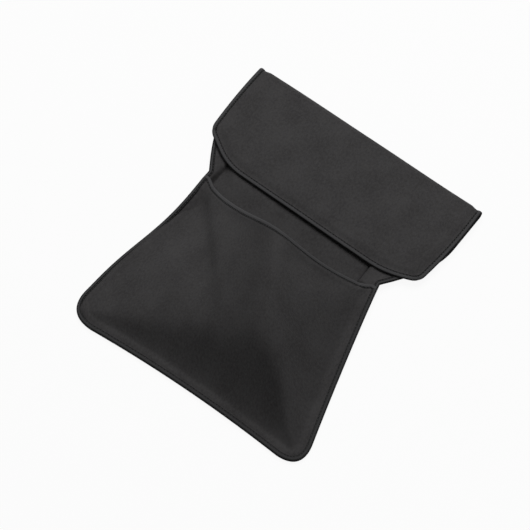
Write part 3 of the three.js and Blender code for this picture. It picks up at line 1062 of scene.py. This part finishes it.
def flap_surface(scene):
    """Outer face, depth and flat coordinates from the neck's middle round the fold to the free edge."""
    flap = scene.pouch_flap
    radius = flap.fold_height / 2.0
    half = flap.fold_width / 2.0 - scene.pouch_tape.overhang
    columns = graded(FLAP_COLUMNS)
    y, s = np.meshgrid(np.linspace(-flap.split, 0.0, FLAP_ROWS[0]), columns, indexing="ij")
    neck_half = neck_half_width(scene, y)
    x = lerp(-neck_half, neck_half, s)
    neck_distance = neck_half - np.abs(x)
    neck = np.stack([x, y, back_height(scene, neck_distance, x, y)], axis=-1)
    neck_flat = np.stack([x, y], axis=-1)
    turn, s = np.meshgrid(np.linspace(-0.5, 0.5, FLAP_ROWS[1])[1:-1] * math.pi, columns, indexing="ij")
    x = lerp(-half, half, s)
    fold_distance = half - np.abs(x)
    reach = radius - edge_draw(scene, fold_distance)
    fold = np.stack([x, reach * np.cos(turn), radius + reach * np.sin(turn)], axis=-1)
    fold_flat = np.stack([x, radius * (turn + math.pi / 2.0)], axis=-1)
    outline = flap_outline(scene)
    v, s = np.meshgrid(graded(FLAP_ROWS[2], closeness=0.3)[::-1], columns, indexing="ij")
    plan = outline.patch(s, v)
    flap_distance = outline.distance(plan)
    top = flap.fold_height - edge_draw(scene, flap_distance) + flap_wave(scene, s, v)
    face = np.concatenate([plan, top[..., None]], axis=-1)
    flap_flat = np.stack([plan[..., 0], math.pi * radius - plan[..., 1]], axis=-1)
    neck[..., 1] -= drawn_in(neck[..., 0]) * smooth(neck[..., 1], -flap.split, 0.0)
    fold[..., 1] -= drawn_in(fold[..., 0])
    face[..., 1] -= drawn_in(face[..., 0]) * smooth(face[..., 1], -flap.drawn_reach, 0.0)
    distance = np.concatenate([neck_distance, fold_distance, flap_distance])
    flat = np.concatenate([neck_flat, fold_flat, flap_flat])
    return np.concatenate([neck, fold, face]), cloth_depth(scene, distance), flat


def bend_with_neck(piece):
    """Bakes the piece's place into its points; it does not bend with the neck."""
    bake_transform(piece)


def turn_with_flap(piece):
    """Bakes the piece's place into its points; it does not turn with the flap."""
    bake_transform(piece)


# Edge tape and stitches


def sampled(path, along, places):
    """A path's arrays, known at some places along it, at other places."""
    at = {}
    for key, values in path.items():
        table = values if values.ndim == 2 else values[:, None]
        columns = [np.interp(places, along, column) for column in table.T]
        at[key] = np.stack(columns, axis=-1) if values.ndim == 2 else columns[0]
    return at


def resampled(path, step):
    """A path's arrays again, at even steps along it."""
    along = np.concatenate([[0.0], np.cumsum(np.linalg.norm(np.diff(path["edge"], axis=0), axis=1))])
    places = np.linspace(0.0, along[-1], max(2, round(along[-1] / step) + 1))
    return {**sampled(path, along, places), "along": places}


def path_frame(path):
    """The same path with its inward and normal ways made square to its run."""
    way = unit(np.gradient(path["edge"], axis=0))
    normal = unit(path["normal"] - way * np.sum(path["normal"] * way, axis=1, keepdims=True))
    inward = np.cross(normal, way)
    sign = np.sign(np.sum(inward * path["inward"], axis=1, keepdims=True))
    return {**path, "normal": normal, "inward": inward * sign}


def sheet_edge(face, normal, depth, inward):
    """Path along one edge of a sheet, through the middle of its thickness."""
    middle = face + normal * depth[:, None] / 2.0
    return {"edge": middle, "normal": normal, "inward": inward, "half": np.abs(depth) / 2.0}


def mouth_path(face, depth):
    """Path along the top edge of the pocket's front."""
    normal = grid_normals(face)[-1]
    return sheet_edge(face[-1], -normal, depth[-1], unit(face[-3] - face[-1]))


# Places on the pocket's path up one side of the neck and round the pocket
NECK_PLACES = 80
POCKET_PLACES = 700
# Distance from a mouth corner, up and down, within which the tape's cloth goes from one layer to two
LAYER_EASE = 0.004


def pocket_path(scene):
    """Path from the middle of the neck down the left side, round the pocket and up to the neck again."""
    cloth = scene.pouch_cloth
    outline = pocket_outline(scene)
    neck_y = np.linspace(-scene.pouch_flap.split, POCKET_TOP, NECK_PLACES)[:-1]
    neck_x = neck_half_width(scene, neck_y)
    around = outline.at(np.linspace(0.0, outline.total, POCKET_PLACES))
    left = np.stack([-neck_x, neck_y], axis=-1)
    right = np.stack([neck_x, neck_y], axis=-1)[::-1]
    plan = np.concatenate([left, around, right])
    way = unit(np.gradient(plan, axis=0))
    inward = np.stack([-way[:, 1], way[:, 0], np.zeros(len(way))], axis=-1)
    y = plan[:, 1]
    drop = np.where(plan[:, 0] < 0.0, scene.pouch_pocket.left_drop, scene.pouch_pocket.right_drop)
    below = POCKET_TOP - drop - y
    stack = lerp(cloth.sewn, seam_stack(scene), smooth(below, -LAYER_EASE, LAYER_EASE))
    under = back_height(scene, np.zeros(len(plan)), plan[:, 0], y)
    edge = np.concatenate([plan, (under + stack / 2.0)[:, None]], axis=-1)
    up = np.tile((0.0, 0.0, 1.0), (len(plan), 1))
    return {"edge": edge, "normal": up, "inward": inward, "half": stack / 2.0}


def joined(paths):
    return {key: np.concatenate([path[key] for path in paths]) for key in paths[0]}


def flap_paths(scene):
    """Paths along both sides of the neck and the fold, and round the flap from its left to its right."""
    face, depth, _ = flap_surface(scene)
    normal = grid_normals(face)
    left = sheet_edge(face[:, 0], normal[:, 0], depth[:, 0], unit(face[:, 2] - face[:, 0]))
    right = sheet_edge(face[:, -1], normal[:, -1], depth[:, -1], unit(face[:, -3] - face[:, -1]))
    end = sheet_edge(face[-1], normal[-1], depth[-1], unit(face[-3] - face[-1]))
    paths = {}
    for part in ("neck", "fold"):
        for side, path in (("left", left), ("right", right)):
            paths[f"{part}_{side}"] = {key: values[STRETCHES[part]] for key, values in path.items()}
    flap_left = {key: values[STRETCHES["flap"]] for key, values in left.items()}
    flap_right = {key: values[STRETCHES["flap"]][::-1] for key, values in right.items()}
    paths["flap"] = joined([flap_left, end, flap_right])
    return paths


# Places on the round half of a roll and on each run from bend to bend of a tape's section
ROLL_PLACES = 9
RUN_PLACES = 5


def tape_profile(tape, half):
    """Section of a rolled tape as (inward, outward) places, closed, for one half thickness of cloth."""
    turn = np.linspace(0.0, math.pi / 2.0, ROLL_PLACES)
    x = [tape.roll - (tape.overhang + tape.roll) * np.cos(turn) ** (2.0 / tape.roundness)]
    y = [(half + tape.crown) * np.sin(turn) ** (2.0 / tape.roundness)]
    bends_x = (tape.roll, tape.band, tape.groove, tape.width)
    bends_y = half + np.array((tape.crown, tape.band_height, tape.groove_height, tape.lip_height))
    across = np.linspace(0.0, 1.0, RUN_PLACES)[1:]
    eased = smooth(across, 0.0, 1.0)
    for k in range(len(bends_x) - 1):
        x.append(lerp(bends_x[k], bends_x[k + 1], across))
        y.append(lerp(bends_y[k], bends_y[k + 1], eased))
    top = np.stack([np.concatenate(x), np.concatenate(y)], axis=-1)
    inner = np.array([(tape.width, half), (0.0, half), (0.0, -half), (tape.width, -half)])
    bottom = top[:0:-1] * (1.0, -1.0)
    return np.concatenate([top, inner, bottom])


# Steps along a tape, and along its short turn round the fold
TAPE_STEP = 0.0010
FOLD_STEP = 0.0002


def swept(name, path, sections, flat, finish):
    """Closed body with one section at each place of a path."""
    points = (
        path["edge"][:, None, :]
        + sections[..., 0:1] * path["inward"][:, None, :]
        + sections[..., 1:2] * path["normal"][:, None, :]
    )
    faces = tube_faces(*points.shape[:2])
    return mesh_object(name, points.reshape(-1, 3), faces, flat.reshape(-1, 2), finish)


def edge_tape(scene, name, path, finish_name="ribbed_tape", painted_highlight=EDGE_HIGHLIGHT, step=TAPE_STEP):
    """Rolled tape along a path, with its stitches on both sides."""
    tape = scene.pouch_tape
    path = path_frame(resampled(path, step))
    sections = np.stack([tape_profile(tape, half) for half in path["half"]])
    across = np.broadcast_to(sections[0, :, 0] - tape.roll, sections.shape[:2])
    flat = np.stack([np.broadcast_to(path["along"][:, None], sections.shape[:2]), across], axis=-1)
    finish = found(finish_name, ribbed_tape, scene.pouch_looks, *painted_highlight)
    piece = swept(name, path, sections, flat, finish)
    rows = stitch_rows(scene, name.replace("binding", "stitches"), path)
    return piece, rows


# Rings and sides of a stitch, and how thin its ends are beside its middle
STITCH_RINGS = 7
STITCH_SIDES = 8
STITCH_END = 0.2


def stitch_rows(scene, name, path):
    """Two rows of single stitches along the groove of a tape, over and under it."""
    sewing = scene.pouch_sewing
    tape = scene.pouch_tape
    count = max(2, int(path["along"][-1] / sewing.pitch))
    middles = (np.arange(count) + 0.5) * path["along"][-1] / count
    from_middle = np.linspace(-1.0, 1.0, STITCH_RINGS)
    thin = np.sqrt(np.maximum(1.0 - from_middle**4, STITCH_END**2))
    sink = -sewing.bite * from_middle**2
    along = (middles[:, None] + from_middle * sewing.length / 2.0).ravel()
    at = sampled(path, path["along"], along)
    turn = np.linspace(0.0, 2.0 * math.pi, STITCH_SIDES, endpoint=False)
    spokes = np.cos(turn)[:, None, None] * at["inward"] + np.sin(turn)[:, None, None] * at["normal"]
    radius = sewing.thread / 2.0 * np.tile(thin, count)
    height = at["half"] + tape.groove_height + sewing.stand + np.tile(sink, count)
    groove = at["edge"] + tape.groove * at["inward"]
    points = []
    for side in (1.0, -1.0):
        rings = groove + side * height[:, None] * at["normal"] + radius[:, None] * spokes
        points.append(rings.swapaxes(0, 1).reshape(-1, 3))
    flat = np.stack(np.broadcast_arrays(along[:, None], turn * sewing.thread), axis=-1).reshape(-1, 2)
    faces = []
    for stitch in range(2 * count):
        faces += tube_faces(STITCH_RINGS, STITCH_SIDES, stitch * STITCH_RINGS * STITCH_SIDES)
    finish = found("sewing_thread", sewing_thread, scene.pouch_looks)
    return mesh_object(name, np.concatenate(points), faces, np.concatenate([flat, flat]), finish)


class POUCH_OT_tapes(Operator):
    """Make the tape round the pocket, neck and flap, with its stitches"""

    bl_idname = "pouch.tapes"
    bl_label = "Edge tape"

    def execute(self, context):
        scene = context.scene
        # The pocket's tape: a painted highlight along its crown, and painted light on stretches at its
        # bottom and right side
        painted_highlight = (*POCKET_HIGHLIGHT, RELIT_ALONG)
        tape, rows = edge_tape(scene, "pocket_binding", pocket_path(scene), "pocket_tape", painted_highlight)
        for piece in (tape, rows):
            bend_with_neck(piece)
        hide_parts("pocket_tape", "bend_tape_left", "bend_tape_right")
        for part, path in flap_paths(scene).items():
            body, _, side = part.partition("_")
            step = FOLD_STEP if body == "fold" else TAPE_STEP
            tape, rows = edge_tape(scene, f"{part}_binding", path, step=step)
            for piece in (tape, rows):
                if body == "fold":
                    turn_with_flap(piece)
                else:
                    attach(piece, body)
            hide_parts(f"{body}_tape_{side}" if side else f"{body}_tape")
        return {"FINISHED"}


# Stage

SEEN_RAYS = ("Is Camera Ray", "Is Glossy Ray", "Is Transmission Ray")
WHITE = (1.0, 1.0, 1.0, 1.0)
SENSOR_WIDTH = 36.0
# Place and width of the lamp overhead
KEY_PLACE = (-0.29, 0.71, 1.51)
KEY_WIDTH = 1.3
# Share of white in what the camera sees of the floor, half the floor's width, and its depth under the pouch
FLOOR_WHITE = 0.93
FLOOR_REACH = 3.0
FLOOR_DROP = 0.0002


def look_at(piece, target):
    piece.rotation_euler = (Vector(target) - piece.location).to_track_quat("-Z", "Y").to_euler()


def seen(finish):
    """1 for rays from the camera, or for what it sees in gloss or through glass."""
    camera, gloss, glass = (finish.node("ShaderNodeLightPath", {}, {}, output=ray) for ray in SEEN_RAYS)
    return camera + gloss + glass


def pale_floor(name, looks):
    """Paper that takes the pouch's shadow and looks almost white to the camera."""
    finish = Finish(bpy.data.materials.new(name))
    paper = finish.node("ShaderNodeBsdfDiffuse", {}, {"Color": (*looks.floor, 1.0)})
    white = finish.node("ShaderNodeEmission", {}, {"Color": WHITE})
    sockets = {0: seen(finish) * FLOOR_WHITE, 1: paper, 2: white}
    return finish.surface(finish.node("ShaderNodeMixShader", {}, sockets))


def lamp(name, power, width, place, target):
    data = bpy.data.lights.new(name, "AREA")
    assign(data, {"shape": "DISK", "size": width, "energy": power})
    piece = bpy.data.objects.new(name, data)
    bpy.context.scene.collection.objects.link(piece)
    piece.location = place
    look_at(piece, target)


def white_world(scene, strength):
    """Even light from all round, which looks white to the camera."""
    finish = Finish(bpy.data.worlds.new("studio"))
    level = seen(finish) * (1.0 - strength) + strength
    back = finish.node("ShaderNodeBackground", {}, {"Color": WHITE, "Strength": level})
    scene.world = finish.surface(back, "ShaderNodeOutputWorld")


class POUCH_OT_stage(Operator):
    """Make the camera, the lights and the pale floor"""

    bl_idname = "pouch.stage"
    bl_label = "Stage"

    def execute(self, context):
        scene = context.scene
        stage = scene.pouch_stage
        target = Vector(PLAN_ORIGIN) + Vector((stage.aim_across, stage.aim_along, 0.0))
        flat = math.cos(stage.elevation)
        across = math.sin(stage.azimuth) * flat
        along = -math.cos(stage.azimuth) * flat
        back = Vector((across, along, math.sin(stage.elevation)))
        data = bpy.data.cameras.new("camera")
        data.lens = stage.lens
        data.sensor_width = SENSOR_WIDTH
        camera = bpy.data.objects.new("camera", data)
        scene.collection.objects.link(camera)
        camera.location = target + stage.distance * back
        look_at(camera, target)
        scene.camera = camera
        lamp("key", stage.key, KEY_WIDTH, KEY_PLACE, (0.0, 0.0, 0.0))
        white_world(scene, stage.sky)
        finish = found("pale_floor", pale_floor, scene.pouch_looks)
        square = np.array([(-1, -1, 0), (1, -1, 0), (1, 1, 0), (-1, 1, 0)], float)
        corners = FLOOR_REACH * square - PLAN_ORIGIN
        corners[:, 2] = -FLOOR_DROP
        floor = mesh_object("floor", corners, [(0, 1, 2, 3)], corners[:, :2], finish)
        scene.view_settings.view_transform = "Standard"
        return {"FINISHED"}


# Add-on


class POUCH_PT_sidebar(Panel):
    """Sizes, colours and steps of the pouch"""

    bl_idname = "POUCH_PT_sidebar"
    bl_label = "Lens pouch"
    bl_space_type = "VIEW_3D"
    bl_region_type = "UI"
    bl_category = "Pouch"

    def draw(self, context):
        for step in STEPS:
            self.layout.operator(step.bl_idname)
        for name, group in SETTINGS.items():
            box = self.layout.box()
            box.label(text=group.__doc__)
            for key in group.__annotations__:
                box.prop(getattr(context.scene, name), key)


STEPS = (POUCH_OT_stage, POUCH_OT_back, POUCH_OT_front, POUCH_OT_flap, POUCH_OT_tapes)


def register():
    for group in (*SETTINGS.values(), *STEPS, POUCH_PT_sidebar):
        bpy.utils.register_class(group)
    for name, group in SETTINGS.items():
        setattr(bpy.types.Scene, name, PointerProperty(type=group))


def unregister():
    for name in SETTINGS:
        delattr(bpy.types.Scene, name)
    for group in (POUCH_PT_sidebar, *reversed(STEPS), *reversed(SETTINGS.values())):
        bpy.utils.unregister_class(group)


def main():
    register()
    bpy.ops.pouch.stage()
    bpy.ops.pouch.back()
    bpy.ops.pouch.front()
    bpy.ops.pouch.flap()
    bpy.ops.pouch.tapes()


if __name__ == "__main__":
    main()
